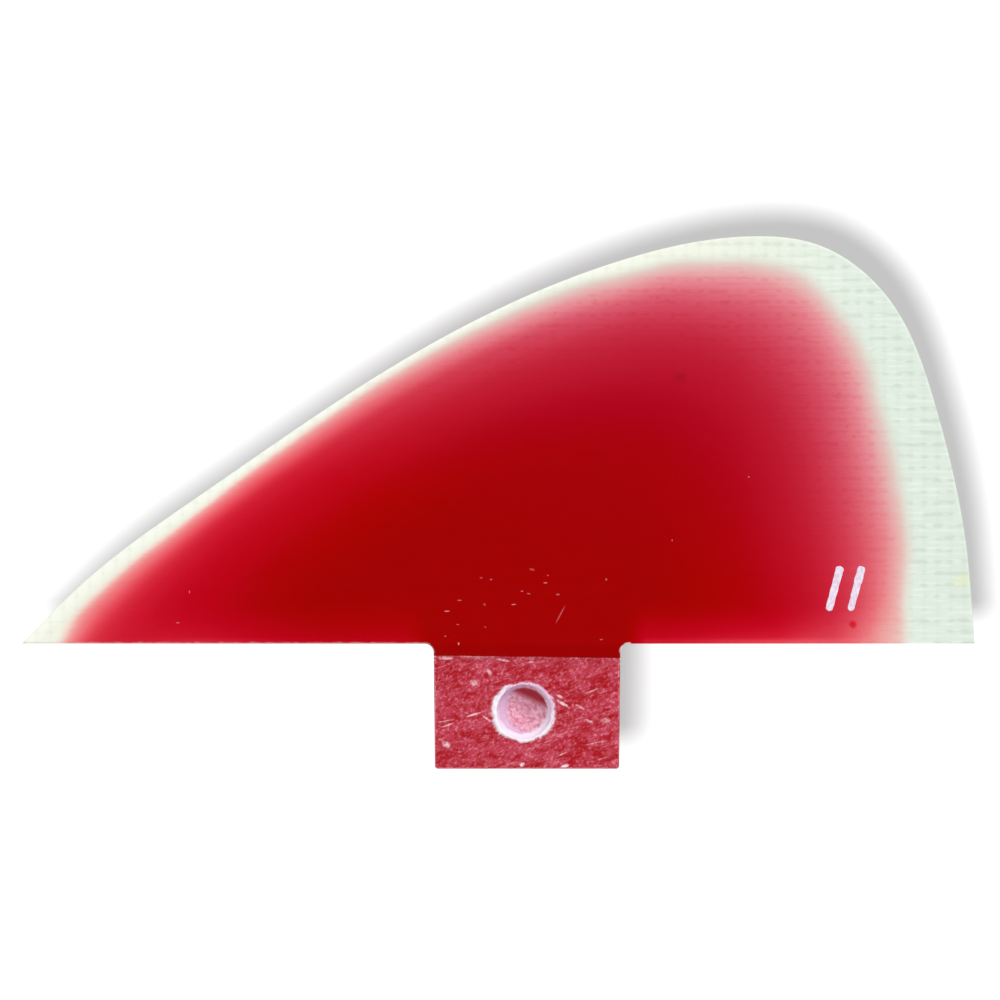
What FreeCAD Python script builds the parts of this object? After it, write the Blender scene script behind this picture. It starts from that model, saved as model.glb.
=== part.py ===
"""A single-tab surfboard fin, laid up by hand from glass cloth and sanded to a foil on one face.

Millimetres. The fin stands as it does on an upturned board: +X runs aft along the base, +Y goes from the
foiled outer face to the flat inner face, and +Z goes from the board to the tip. The origin is the middle of
the tab where it leaves the base.
"""

import FreeCAD
import Part
import math
import os

# ---- Driving dimensions ----
base_length = 114.3        # front corner to rear corner, along the board
blade_depth = 49.0         # base to the highest point of the outline
front_reach = 60.6         # tab's middle to the front corner

ply_thickness = 0.30       # one layer of cloth with its resin
clear_plies = 7            # untinted layers, from the flat face outwards
red_plies = 14             # red-tinted layers, up to the crest of the foil

leading_edge = 1.4         # thickness left at the leading edge
trailing_edge = 1.0        # thickness left at the trailing edge
nose_ramp_share = 0.90     # how much of the way from the front corner to the tab the foil climbs over
leading_ramp_share = 0.61  # the same from the leading edge, which is blunter
trailing_ramp_share = 0.97 # the same from the trailing edge
nose_hollow_ratio = 1.1    # how hollow the ramp is behind the front corner: 1 is a plain sine
leading_hollow_ratio = 1.2
trailing_hollow_ratio = 1.4
nose_part_share = 0.2      # the nose's section gives way to the leading edge's over this part of the outline
tip_from_share = 0.6       # the leading edge's section gives way to the trailing edge's from here
tip_to_share = 0.98        # to here
crest_from_share = 0.45    # sections before this point of the outline all run to the tab's front shoulder

tab_width = 22.4           # along the base, at the base
tab_depth = 15.0           # base to the tab's foot
tab_inset = 0.15           # how much each end of the tab draws in by its foot
tab_sanding = 0.05         # taken off each bare side of the tab to fit it to its slot
tab_fillet = 1.1           # inside corner between the base and the tab
tab_corner = 0.4           # rounded corners of the tab's foot
shoulder = 0.5             # full-thickness land beyond the tab's fillets

dimple_radius = 3.3        # seat for the fin box's grub screw, drilled from the outer face
dimple_wall = 0.9          # its straight wall, above the drill's point
drill_angle = 118.0        # point angle of the drill, degrees
dimple_drop = 8.2          # its middle, below the base
dimple_forward = 0.4       # its middle, forward of the tab's middle

coat_thickness = 0.20      # brushed gloss coat, on both faces
tape_drop = 1.7            # the coats stop at a tape line this far below the base

mark_width = 0.9           # stroke of the paint pen
mark_height = 0.05         # how thick the paint stands
mark_length = 5.6          # one stroke
mark_lean = 15.0           # degrees aft of upright
mark_gap = 2.6             # from one stroke to the next
marks = 2                  # strokes side by side
mark_forward = 15.5        # the strokes' middle, forward of the rear corner
mark_rise = 6.6            # the strokes' middle, above the base

# The outline from the front corner over the tip to the rear corner, as shares of base_length and blade_depth.
outline_shares = [(0, 0), (0.060, 0.139), (0.191, 0.369), (0.410, 0.707), (0.631, 0.939), (0.774, 0.997),
                  (0.832, 0.979), (0.912, 0.838), (0.957, 0.598), (0.992, 0.226), (1, 0)]

# ---- Derived sizes ----
panel = ply_thickness * (clear_plies + red_plies)
inner_y = panel / 2        # flat face
outer_y = -panel / 2       # crest of the foil, and the tab's outer side
crest = tab_width / 2 + tab_fillet + shoulder    # half-length of the full-thickness stretch of the base
beyond = 5.0               # how far cutting boxes reach past the fin
run_out = 1.0              # how far the foil is drawn on below the base, before the base is cut

stations = 32              # sections through the foil, from the front corner to the rear corner
rows = 8                   # points up each section


def smooth(share):
    """0 to 1 with no corner at either end."""
    share = min(max(share, 0.0), 1.0)
    return share * share * (3 - 2 * share)


def blend(a, b, share):
    return a + (b - a) * smooth(share)


def along(nose, leading, trailing, share):
    """A value that changes along the outline from the nose's to the leading edge's to the trailing edge's."""
    front = blend(nose, leading, share / nose_part_share)
    return blend(front, trailing, (share - tip_from_share) / (tip_to_share - tip_from_share))


def outline_points():
    """Evenly spaced points round the outline, which runs on a little below the base at both ends."""
    corners = [FreeCAD.Vector(a * base_length - front_reach, 0, b * blade_depth) for a, b in outline_shares]
    before = corners[0] + (corners[0] - corners[1]) * (run_out / corners[1].z)
    after = corners[-1] + (corners[-1] - corners[-2]) * (run_out / corners[-2].z)
    curve = Part.BSplineCurve()
    curve.interpolate([before] + corners + [after])
    return curve.toShape().discretize(Number=stations + 1)


def section(rim, share):
    """One section of the foil, from the rim straight towards the full-thickness stretch above the tab."""
    foot_x = blend(-crest, crest, (share - crest_from_share) / (1 - crest_from_share))
    foot = FreeCAD.Vector(foot_x, 0, -run_out)
    run = (foot - rim) * along(nose_ramp_share, leading_ramp_share, trailing_ramp_share, share)
    edge = along(leading_edge, leading_edge, trailing_edge, share)
    hollow = along(nose_hollow_ratio, leading_hollow_ratio, trailing_hollow_ratio, share)
    points = []
    for row in range(rows + 1):
        climb = math.sin(math.pi / 2 * row / rows) ** hollow
        height = edge + (panel - edge) * climb
        points.append(rim + run * (row / rows) + FreeCAD.Vector(0, inner_y - height, 0))
    return points


def foil_skin():
    """The foiled face: the ramp round the rim, and the flat crest inside it."""
    rims = outline_points()
    ramp = Part.BSplineSurface()
    ramp.interpolate([section(rim, k / stations) for k, rim in enumerate(rims)])
    ramp = ramp.toShape()
    top = [e for e in ramp.Edges if all(abs(v.Y - outer_y) < 1e-6 for v in e.Vertexes)][0]
    ends = top.Vertexes[0].Point, top.Vertexes[-1].Point
    flat = Part.Face(Part.Wire([top, Part.makeLine(*ends)]))
    skin = Part.makeCompound([ramp, flat])
    skin.sewShape()
    return skin


def swept(skin, travel):
    """The solid that a skin of several faces sweeps through."""
    parts = [face.extrude(travel) for face in skin.Faces]
    return parts[0].fuse(parts[1:]).removeSplitter()


def slab(low_y, high_y):
    """A box that holds the whole blade between two planes, and ends at the base."""
    corner = FreeCAD.Vector(-front_reach - beyond, low_y, 0)
    return Part.makeBox(base_length + 2 * beyond, high_y - low_y, blade_depth + beyond, corner)


def tab_face(drop):
    """The tab's side view at y = 0 down to drop below the base, with the fillets that join it to the base."""
    half = tab_width / 2
    lean = tab_inset / tab_depth
    cut = drop < tab_depth
    corner = 0 if cut else tab_corner
    foot_half = half - lean * drop

    def at(x, z):
        return FreeCAD.Vector(x, 0, z)

    def bend(sign, start, middle, end):
        return Part.Arc(*[at(sign * x, z) for x, z in (start, middle, end)]).toShape()

    def side(sign):
        """Base to foot on one side: fillet, straight side and, on the whole tab, the rounded corner."""
        r, q = tab_fillet, 1 - math.sqrt(0.5)
        side_x = half - lean * r
        edges = [bend(sign, (side_x + r, 0), (side_x + r * q, -r * q), (side_x, -r))]
        edges.append(Part.makeLine(at(sign * side_x, -r), at(sign * foot_half, corner - drop)))
        if corner:
            start, end = (foot_half, corner - drop), (foot_half - corner, -drop)
            edges.append(bend(sign, start, (foot_half - corner * q, corner * q - drop), end))
        return edges

    right, left = side(1), side(-1)
    top = Part.makeLine(left[0].Vertexes[0].Point, right[0].Vertexes[0].Point)
    foot = Part.makeLine(right[-1].Vertexes[-1].Point, left[-1].Vertexes[-1].Point)
    return Part.Face(Part.Wire(Part.__sortEdges__([top, foot] + right + left)))


def tab_slab(low_y, high_y, drop):
    """The tab between two planes, down to drop below the base."""
    face = tab_face(drop)
    face.translate(FreeCAD.Vector(0, low_y, 0))
    return face.extrude(FreeCAD.Vector(0, high_y - low_y, 0))


def screw_dimple():
    """What the drill takes out of the tab's outer side."""
    mouth = FreeCAD.Vector(-dimple_forward, outer_y + tab_sanding, -dimple_drop)
    inwards = FreeCAD.Vector(0, 1, 0)
    start = mouth - inwards * beyond
    wall = Part.makeCylinder(dimple_radius, beyond + dimple_wall, start, inwards)
    point_depth = dimple_radius / math.tan(math.radians(drill_angle / 2))
    point = Part.makeCone(dimple_radius, 0, point_depth, mouth + inwards * dimple_wall, inwards)
    return wall.fuse(point)


def sanding():
    """What sanding takes off both sides of the tab, below the tape line."""
    foot = tab_depth + beyond
    box = Part.makeBox(tab_width + 2 * beyond, beyond + tab_sanding, foot - tape_drop)
    outer, inner = box.copy(), box.copy()
    outer.translate(FreeCAD.Vector(-tab_width / 2 - beyond, outer_y - beyond, -foot))
    inner.translate(FreeCAD.Vector(-tab_width / 2 - beyond, inner_y - tab_sanding, -foot))
    return [outer, inner]


def ply(block, number, waste):
    """One layer of cloth, counted from the flat face."""
    high_y = inner_y - number * ply_thickness
    low_y = high_y - ply_thickness
    last = number == clear_plies + red_plies - 1
    blade = block.common(slab(low_y - (beyond if last else 0), high_y))
    return blade.fuse(tab_slab(low_y, high_y, tab_depth)).removeSplitter().cut(waste)


def outer_coat(skin):
    """Gloss over the foil and down to the tape line."""
    film = swept(skin, FreeCAD.Vector(0, -coat_thickness, 0))
    blade = film.common(slab(outer_y - beyond, inner_y + beyond))
    return blade.fuse(tab_slab(outer_y - coat_thickness, outer_y, tape_drop)).removeSplitter()


def inner_coat(block):
    """Gloss over the flat face and down to the tape line."""
    low_y, high_y = inner_y, inner_y + coat_thickness
    blade = block.common(slab(low_y, high_y))
    return blade.fuse(tab_slab(low_y, high_y, tape_drop)).removeSplitter()


def pen_stroke(number):
    """The side view of one round-ended stroke, as a bar through the blade."""
    middle = FreeCAD.Vector(base_length - front_reach - mark_forward, 0, mark_rise)
    r, half = mark_width / 2, mark_length / 2 - mark_width / 2
    reach = 2 * (panel + beyond)
    bar = Part.makeBox(mark_width, reach, 2 * half, FreeCAD.Vector(-r, 0, -half))
    through = FreeCAD.Vector(0, 1, 0)
    ends = [Part.makeCylinder(r, reach, FreeCAD.Vector(0, 0, z), through) for z in (-half, half)]
    stroke = bar.fuse(ends).removeSplitter()
    stroke.rotate(FreeCAD.Vector(0, 0, 0), through, mark_lean)
    shift = (number - (marks - 1) / 2) * mark_gap
    stroke.translate(middle + FreeCAD.Vector(shift, -reach / 2, 0))
    return stroke


def pen_marks(skin, coat):
    """Paint standing on the outer coat."""
    paint = swept(skin, FreeCAD.Vector(0, -coat_thickness - mark_height, 0)).cut(coat)
    return Part.makeCompound([paint.common(pen_stroke(k)) for k in range(marks)])


def build():
    """Every piece, by name."""
    skin = foil_skin()
    block = swept(skin, FreeCAD.Vector(0, 2 * panel, 0))
    waste = [screw_dimple()] + sanding()
    names = [f"clear_ply_{k:02d}" for k in range(1, clear_plies + 1)]
    names += [f"red_ply_{k:02d}" for k in range(1, red_plies + 1)]
    pieces = {name: ply(block, number, waste) for number, name in enumerate(names)}
    pieces["outer_gloss_coat"] = outer_coat(skin)
    pieces["inner_gloss_coat"] = inner_coat(block)
    pieces["pen_marks"] = pen_marks(skin, pieces["outer_gloss_coat"])
    return pieces


os.makedirs("parts", exist_ok=True)
for name, shape in build().items():
    shape.exportStep(f"parts/{name}.step")
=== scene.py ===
"""The looks of a hand-laid surfboard fin, built round its packed plies.

Metres in the scene, millimetres in every named size. +X runs aft along the base, +Y goes from the foiled
outer face to the flat inner face, and +Z goes from the board to the tip.
"""

import math

import bmesh
import bpy
import numpy as np
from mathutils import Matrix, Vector, noise


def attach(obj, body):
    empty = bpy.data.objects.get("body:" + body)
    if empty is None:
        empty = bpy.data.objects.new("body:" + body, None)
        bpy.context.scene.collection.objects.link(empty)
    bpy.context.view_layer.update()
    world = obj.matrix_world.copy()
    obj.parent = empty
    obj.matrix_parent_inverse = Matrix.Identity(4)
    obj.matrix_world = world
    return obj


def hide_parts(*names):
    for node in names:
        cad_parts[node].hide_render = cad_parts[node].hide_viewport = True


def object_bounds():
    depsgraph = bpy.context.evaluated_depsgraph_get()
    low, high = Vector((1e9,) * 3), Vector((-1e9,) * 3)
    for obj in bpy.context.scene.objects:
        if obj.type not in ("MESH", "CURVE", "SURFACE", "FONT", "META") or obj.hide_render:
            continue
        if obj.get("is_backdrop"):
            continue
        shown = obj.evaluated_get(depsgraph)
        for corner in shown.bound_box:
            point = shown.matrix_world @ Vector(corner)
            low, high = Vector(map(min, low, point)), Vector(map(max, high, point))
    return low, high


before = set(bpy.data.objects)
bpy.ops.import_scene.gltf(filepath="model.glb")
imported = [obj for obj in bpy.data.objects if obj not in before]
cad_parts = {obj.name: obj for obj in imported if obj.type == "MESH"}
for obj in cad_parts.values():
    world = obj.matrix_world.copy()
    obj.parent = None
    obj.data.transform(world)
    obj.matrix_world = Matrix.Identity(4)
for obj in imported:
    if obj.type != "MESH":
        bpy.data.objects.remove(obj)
cad_low, cad_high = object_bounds()
MM = 0.001


# ---- Clear plies ----
# Seven layers of woven glass wetted out with untinted polyester resin, laid on the flat table first. The
# resin cures a pale green-cream. Where the base and the tab are sawn and sanded, their edges show, dull and
# chalky.
ply_thickness = 0.30
clear_plies, red_plies = 7, 14
panel = ply_thickness * (clear_plies + red_plies)
flat_y, crest_y = panel / 2, -panel / 2      # the laminate's flat face and the crest of its foil
cord_pitch_x, cord_pitch_z = 1.59, 1.41      # from one thread of the cloth to the next, aft and upwards

cream = (241, 244, 228)
pale_green = (221, 234, 221)
chalk = (232, 226, 224)
dusty_rose = (208, 116, 126)


def linear(colour):
    """A colour as it looks, from 0 to 255, as the light it stands for."""
    return tuple((c / 255 / 12.92) if c <= 10 else ((c / 255 + 0.055) / 1.055) ** 2.4 for c in colour) + (1,)


class Field:
    """A number that varies over a surface. Arithmetic on it adds the shader nodes that work it out."""

    def __init__(self, tree, socket):
        self.tree, self.socket = tree, socket

    def math(self, operation, *others):
        made = self.tree.nodes.new("ShaderNodeMath")
        made.operation = operation
        for socket, value in zip(made.inputs, (self, *others)):
            feed(self.tree, socket, value)
        return Field(self.tree, made.outputs[0])

    def __add__(self, other):
        return self.math("ADD", other)

    def __mul__(self, other):
        return self.math("MULTIPLY", other)

    def __sub__(self, other):
        return self.math("SUBTRACT", other)

    def __rsub__(self, other):
        return self.math("MULTIPLY_ADD", -1, other)

    __radd__, __rmul__ = __add__, __mul__

    def rise(self, low, high):
        """0 below low, 1 above high, and smooth between; falls instead if high is the lower."""
        made = self.tree.nodes.new("ShaderNodeMapRange")
        made.interpolation_type = "SMOOTHSTEP"
        ends = (low, high, 0, 1) if low < high else (high, low, 1, 0)
        for socket, value in zip(made.inputs, (self, *ends)):
            feed(self.tree, socket, value)
        return Field(self.tree, made.outputs[0])


def feed(tree, socket, value):
    """Sets an input, or links it if the value is worked out by nodes."""
    if isinstance(value, Field):
        tree.links.new(value.socket, socket)
    elif isinstance(value, bpy.types.NodeSocket):
        tree.links.new(value, socket)
    else:
        socket.default_value = value


class Finish:
    """A material under construction, with the place on the piece in millimetres as x, y and z."""

    def __init__(self, name):
        self.material = bpy.data.materials.new(name)
        self.material.use_nodes = True
        self.tree = self.material.node_tree
        self.shader = self.tree.nodes["Principled BSDF"]
        place = self.tree.nodes.new("ShaderNodeTexCoord")
        self.place = place.outputs["Object"]
        self.x, self.y, self.z = (f * (1 / MM) for f in self.split(self.place))

    def split(self, vector):
        made = self.tree.nodes.new("ShaderNodeSeparateXYZ")
        feed(self.tree, made.inputs[0], vector)
        return [Field(self.tree, socket) for socket in made.outputs]

    def grain(self, length, across=None, lean=0, detail=3, rough=0.55, shift=0.0):
        """Cloudy noise about length long (mm) and across tall, leaning upwards aft by lean degrees."""
        turn = self.tree.nodes.new("ShaderNodeMapping")
        turn.inputs["Rotation"].default_value = (0, math.radians(lean), 0)
        turn.inputs["Location"].default_value = (shift, shift, shift)
        feed(self.tree, turn.inputs["Vector"], self.place)
        size = self.tree.nodes.new("ShaderNodeMapping")
        across = across or length
        size.inputs["Scale"].default_value = (1 / length / MM, 1 / across / MM, 1 / across / MM)
        self.tree.links.new(turn.outputs[0], size.inputs["Vector"])
        made = self.tree.nodes.new("ShaderNodeTexNoise")
        for name, value in (("Scale", 1.0), ("Detail", detail), ("Roughness", rough)):
            made.inputs[name].default_value = value
        self.tree.links.new(size.outputs[0], made.inputs["Vector"])
        return Field(self.tree, made.outputs[0])

    def spot(self, x, z, length, tall, lean=0, soft=0.8):
        """1 on a small oval with its middle at x, z, and 0 off it."""
        turned = math.radians(lean)
        ahead = (self.x - x) * (math.cos(turned) / length) + (self.z - z) * (math.sin(turned) / length)
        up = (self.z - z) * (math.cos(turned) / tall) - (self.x - x) * (math.sin(turned) / tall)
        return (ahead * ahead + up * up).rise(1 + soft, 1 - soft)

    def mix(self, share, a, b):
        made = self.tree.nodes.new("ShaderNodeMix")
        made.data_type = "RGBA"
        feed(self.tree, made.inputs[0], share)
        for socket, colour in ((made.inputs[6], a), (made.inputs[7], b)):
            feed(self.tree, socket, linear(colour) if isinstance(colour, tuple) else colour)
        return made.outputs[2]

    def tints(self, field, stops):
        """A colour for each value of a field, from a list of (value, colour)."""
        made = self.tree.nodes.new("ShaderNodeValToRGB")
        low, high = stops[0][0], stops[-1][0]
        feed(self.tree, made.inputs[0], (field - low) * (1 / (high - low)))
        marks = made.color_ramp.elements
        while len(marks) < len(stops):
            marks.new(0.5)
        for mark, (value, colour) in zip(marks, stops):
            mark.position = (value - low) / (high - low)
            mark.color = linear(colour)
        return made.outputs[0]

    def weave(self):
        """The cloth, from about -1 to 1: threads along the base, with those across them over and under."""
        wander = 0.28                        # how far the threads stray from straight
        x = self.x + (self.grain(6.0, 6.0, shift=0.31) - 0.5) * wander
        z = self.z + (self.grain(9.0, 5.0, shift=0.17) - 0.5) * wander
        wave_x = (x * (math.pi / cord_pitch_x)).math("SINE")
        wave_z = (z * (math.pi / cord_pitch_z)).math("SINE")
        lines = (z * (2 * math.pi / cord_pitch_z)).math("COSINE")
        return wave_x * wave_z * 0.65 + lines * 0.35

    def bump(self, height, depth):
        """Relief too fine to model: height from 0 to 1, depth in millimetres."""
        made = self.tree.nodes.new("ShaderNodeBump")
        made.inputs["Strength"].default_value = 1.0
        made.inputs["Distance"].default_value = depth * MM
        feed(self.tree, made.inputs["Height"], height)
        self.tree.links.new(made.outputs[0], self.shader.inputs["Normal"])

    def noted(self, name):
        """A number that was kept on the piece's mesh."""
        made = self.tree.nodes.new("ShaderNodeAttribute")
        made.attribute_name = name
        return Field(self.tree, made.outputs["Fac"])

    def set(self, **inputs):
        for name, value in inputs.items():
            feed(self.tree, self.shader.inputs[name.replace("_", " ")], value)
        return self.material


def laminate(name, wet, dusty, deep, face=None):
    """Cut and sanded edges of the plies: lines of resin between layers, glass fibre ends and sanding dust."""
    finish = Finish(name)
    layer = (finish.y * (2 * math.pi / ply_thickness)).math("COSINE") * 0.5 + 0.5
    fibre = finish.grain(0.9, 0.12, detail=4)
    cloud = finish.grain(2.6, detail=3, shift=0.4)
    haze = (fibre * 0.6 + cloud * 0.6 - layer * 0.25).rise(0.32, 0.72)
    colour = finish.mix(haze, wet, dusty)
    colour = finish.mix(layer.rise(0.70, 1.0) * 0.55, colour, deep)
    if face:                                 # the flat side of the tab, where the red shows from behind
        strokes = finish.grain(5.0, 0.16, lean=18, detail=3, shift=0.3)
        rubbed = strokes * 0.5 + finish.grain(0.8, 0.5, detail=4) * 0.5
        side = finish.mix(rubbed.rise(0.40, 0.60) * 0.7, face, dusty)
        colour = finish.mix(finish.y.rise(flat_y - 0.09, flat_y - 0.06), colour, side)
    finish.bump(fibre * 0.6 + cloud * 0.4, 0.05)
    finish.set(Roughness=haze * 0.25 + 0.42, Specular_IOR_Level=0.35)
    return finish.set(Base_Color=colour)


clear_laminate = laminate("clear_laminate", pale_green, chalk, (178, 190, 168), face=dusty_rose)
for number in range(1, clear_plies + 1):
    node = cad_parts[f"clear_ply_{number:02d}"]
    for place in node.material_slots:
        place.material = clear_laminate


# ---- Red plies ----
# Fourteen more layers of the same cloth in red-tinted resin, laid on the clear ones and ground down with them
# to the foil, so that the tint thins out towards the edges. They are bare where base and tab are sawn.
red_laminate = laminate("red_laminate", (176, 18, 38), (216, 118, 132), (128, 4, 16))
for number in range(1, red_plies + 1):
    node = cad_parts[f"red_ply_{number:02d}"]
    for place in node.material_slots:
        place.material = red_laminate


# ---- Outer gloss coat ----
# Clear gloss resin brushed over the foiled face, round the rim and down the root of the tab to a tape line.
# The layers below show through it: the deeper the red laminate, the deeper the colour. The sawn edge chips
# white.
base_length, blade_depth, front_reach = 114.3, 49.0, 60.6
coat = 0.20
outline_shares = [(0, 0), (0.060, 0.139), (0.191, 0.369), (0.410, 0.707), (0.631, 0.939), (0.774, 0.997),
                  (0.832, 0.979), (0.912, 0.838), (0.957, 0.598), (0.992, 0.226), (1, 0)]
leading_edge, trailing_edge = 1.4, 1.0       # laminate left at the edges
ramp_shares = (0.90, 0.61, 0.97)             # how far in the foil climbs: nose, leading, trailing edge
hollow_ratios = (1.1, 1.2, 1.4)              # how hollow it climbs there
nose_part, tip_from, tip_to, crest_from = 0.2, 0.6, 0.98, 0.45
run_out = 1.0                                # the foil is drawn on below the base, then cut
tab_half, tab_depth, tab_inset, tab_fillet, tab_corner = 11.2, 15.0, 0.15, 1.1, 0.4
crest = tab_half + tab_fillet + 0.5

rim_film, rim_round = 0.05, 0.25             # resin round the rim, and how round it leaves the edge
worn_edge, worn_depth = 0.15, 0.09           # the sawn edge's chipped chamfer
brush_marks = 0.012                          # how far the brush leaves the coat uneven
tape_front, tape_rear = -1.45, -1.72         # height of the tape line at the tab's two sides


def smooth(share):
    share = np.clip(share, 0, 1)
    return share * share * (3 - 2 * share)


def along(values, share):
    """A value that changes along the outline from the nose's to the leading edge's to the trailing edge's."""
    nose, leading, trailing = values
    front = nose + (leading - nose) * smooth(share / nose_part)
    return front + (trailing - front) * smooth((share - tip_from) / (tip_to - tip_from))


def spline(points, steps):
    """Many places on a natural cubic through the points, over chord lengths."""
    gaps = np.linalg.norm(np.diff(points, axis=0), axis=1)
    knots = np.concatenate([[0], np.cumsum(gaps)])
    count = len(points)
    system, right = np.eye(count), np.zeros((count, 2))
    for k in range(1, count - 1):
        system[k, k - 1:k + 2] = gaps[k - 1], 2 * (gaps[k - 1] + gaps[k]), gaps[k]
        right[k] = 6 * ((points[k + 1] - points[k]) / gaps[k] - (points[k] - points[k - 1]) / gaps[k - 1])
    bend = np.linalg.solve(system, right)
    at = np.linspace(0, knots[-1], steps)
    k = np.clip(np.searchsorted(knots, at, side="right") - 1, 0, count - 2)
    a, b, gap = (knots[k + 1] - at)[:, None], (at - knots[k])[:, None], gaps[k][:, None]
    return ((bend[k] * a ** 3 + bend[k + 1] * b ** 3) / (6 * gap)
            + (points[k] / gap - bend[k] * gap / 6) * a + (points[k + 1] / gap - bend[k + 1] * gap / 6) * b)


def evenly(curve, shares):
    """Places on a curve at shares of its length."""
    run = np.concatenate([[0], np.cumsum(np.linalg.norm(np.diff(curve, axis=0), axis=1))])
    return np.stack([np.interp(np.asarray(shares) * run[-1], run, curve[:, axis]) for axis in (0, 1)], axis=1)


corners = np.array([(a * base_length - front_reach, b * blade_depth) for a, b in outline_shares])
before = corners[0] + (corners[0] - corners[1]) * (run_out / corners[1, 1])
after = corners[-1] + (corners[-1] - corners[-2]) * (run_out / corners[-2, 1])
full_rim = spline(np.vstack([before, corners, after]), 20001)
blade_rim = full_rim[full_rim[:, 1] >= 0]
blade_rim = np.vstack([corners[0], blade_rim, corners[-1]])

station = np.linspace(0, 1, 1601)
section_rim = evenly(full_rim, station)
section_foot = np.stack([-crest + 2 * crest * smooth((station - crest_from) / (1 - crest_from)),
                         np.full(len(station), -run_out)], axis=1)


def laminate_height(places):
    """The laminate's thickness at places on the blade, on the section that runs through each."""
    heights = np.full(len(places), panel)
    run = section_foot - section_rim
    reach = (run ** 2).sum(1)
    blade = np.nonzero(places[:, 1] >= -1e-9)[0]
    for part in np.array_split(blade, max(1, len(blade) // 2000)):
        from_rim = places[part][:, None] - section_rim[None]
        side = run[:, 0] * from_rim[..., 1] - run[:, 1] * from_rim[..., 0]
        inwards = (from_rim * run).sum(2) / reach
        crosses = (side[:, :-1] * side[:, 1:] <= 0) & (inwards[:, :-1] > -0.02) & (inwards[:, :-1] < 1.02)
        k, row = crosses.argmax(1), np.arange(len(part))
        step = side[row, k] / (side[row, k] - side[row, k + 1] + 1e-12)
        share = (k + step) / (len(station) - 1)
        climb = (inwards[row, k] * (1 - step) + inwards[row, k + 1] * step) / along(ramp_shares, share)
        edge = along((leading_edge, leading_edge, trailing_edge), share)
        rise = np.sin(np.pi / 2 * np.clip(climb, 0, 1)) ** along(hollow_ratios, share)
        heights[part] = edge + (panel - edge) * rise
    return heights


def ragged(values, length, seed):
    """Smooth random numbers from about -1 to 1 along a line of values."""
    return np.array([noise.noise(Vector((v / length, seed, 0.5))) * 1.6 for v in values])


def fillet_x(z):
    """Half-width of the tab at a height, with the fillets that join it to the base."""
    z = np.minimum(np.asarray(z, float), 0)
    side = tab_half + tab_inset / tab_depth * z
    return side + tab_fillet - np.sqrt(np.maximum(tab_fillet ** 2 - np.clip(z + tab_fillet, 0, None) ** 2, 0))


def tape_line(x):
    """Height of the tape line, which runs a little askew across the tab."""
    return tape_front + (tape_rear - tape_front) * (x + tab_half) / (2 * tab_half)


def distance_to(places, line):
    """How far each place is from a line of points."""
    found = np.full(len(places), np.inf)
    for a, b in zip(line[:-1], line[1:]):
        run = b - a
        share = np.clip(((places - a) @ run) / (run @ run + 1e-12), 0, 1)
        found = np.minimum(found, np.linalg.norm(places - a - share[:, None] * run, axis=1))
    return found


def closed_sheet(name, front, back, faces):
    """A thin closed shell: its front, the same faces behind, and walls between them round every open edge."""
    count = len(front)
    edges = {}
    for face in faces:
        for a, b in zip(face, face[1:] + face[:1]):
            edges[frozenset((a, b))] = None if frozenset((a, b)) in edges else (a, b)
    walls = [(b, a, a + count, b + count) for a, b in filter(None, edges.values())]
    behind = [tuple(v + count for v in reversed(face)) for face in faces]
    mesh = bpy.data.meshes.new(name)
    mesh.from_pydata(np.vstack([front, back]) * MM, [], [*map(tuple, faces), *behind, *walls])
    piece = bpy.data.objects.new(name, mesh)
    bpy.context.scene.collection.objects.link(piece)
    return piece


def finished(piece, material, node=None, weld=0.010, crease=38):
    """Welds the piece's thin corners, shades it smooth between creases, and ties it to the model."""
    shell = bmesh.new()
    shell.from_mesh(piece.data)
    bmesh.ops.remove_doubles(shell, verts=shell.verts, dist=weld * MM)
    if shell.calc_volume(signed=True) < 0:   # inside out
        bmesh.ops.reverse_faces(shell, faces=shell.faces)
    shell.to_mesh(piece.data)
    shell.free()
    piece.data.shade_smooth()
    piece.data.set_sharp_from_angle(angle=math.radians(crease))
    piece.data.materials.append(material)
    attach(piece, "root")
    if node:
        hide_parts(node)
    return piece


# The net of the blade's face: columns from the base to the rim, and a strip down to the tape line.
front_columns, tab_columns, rear_columns = 150, 96, 130
even = np.linspace(0, 1, tab_columns + 1)
bunched = even + 0.7 * ((1 - np.cos(np.pi * even)) / 2 - even)      # closer together by the fillets
root_half = float(fillet_x(0))
base_x = np.concatenate([np.linspace(-front_reach, -root_half, front_columns + 1)[:-1],
                         -root_half + 2 * root_half * bunched,
                         np.linspace(root_half, base_length - front_reach, rear_columns + 1)[1:]])
first_tab, last_tab = front_columns, front_columns + tab_columns
column_rim = evenly(blade_rim, (base_x + front_reach) / base_length)
column_base = np.stack([base_x, np.zeros(len(base_x))], axis=1)
column_run = np.linalg.norm(column_rim - column_base, axis=1)

from_base = np.array([0, 0.06, 0.13, 0.21, 0.31, 0.45, 0.7, 1.05])
from_rim = np.array([0, 0.03, 0.07, 0.12, 0.18, 0.25, 0.4, 0.7])[::-1]
middle = np.linspace(0, 1, 70)[1:-1]
shrink = np.minimum(1, column_run / 5)       # short columns have closer rows
low, high = from_base[-1] * shrink, column_run - from_rim[0] * shrink
lengths = np.concatenate([from_base * shrink[:, None], low[:, None] + (high - low)[:, None] * middle,
                          column_run[:, None] - from_rim * shrink[:, None]], axis=1)
share_up = lengths / np.maximum(column_run, 1e-9)[:, None]
net = column_base[:, None] + (column_rim - column_base)[:, None] * share_up[..., None]
columns, rows = net.shape[:2]

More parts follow.
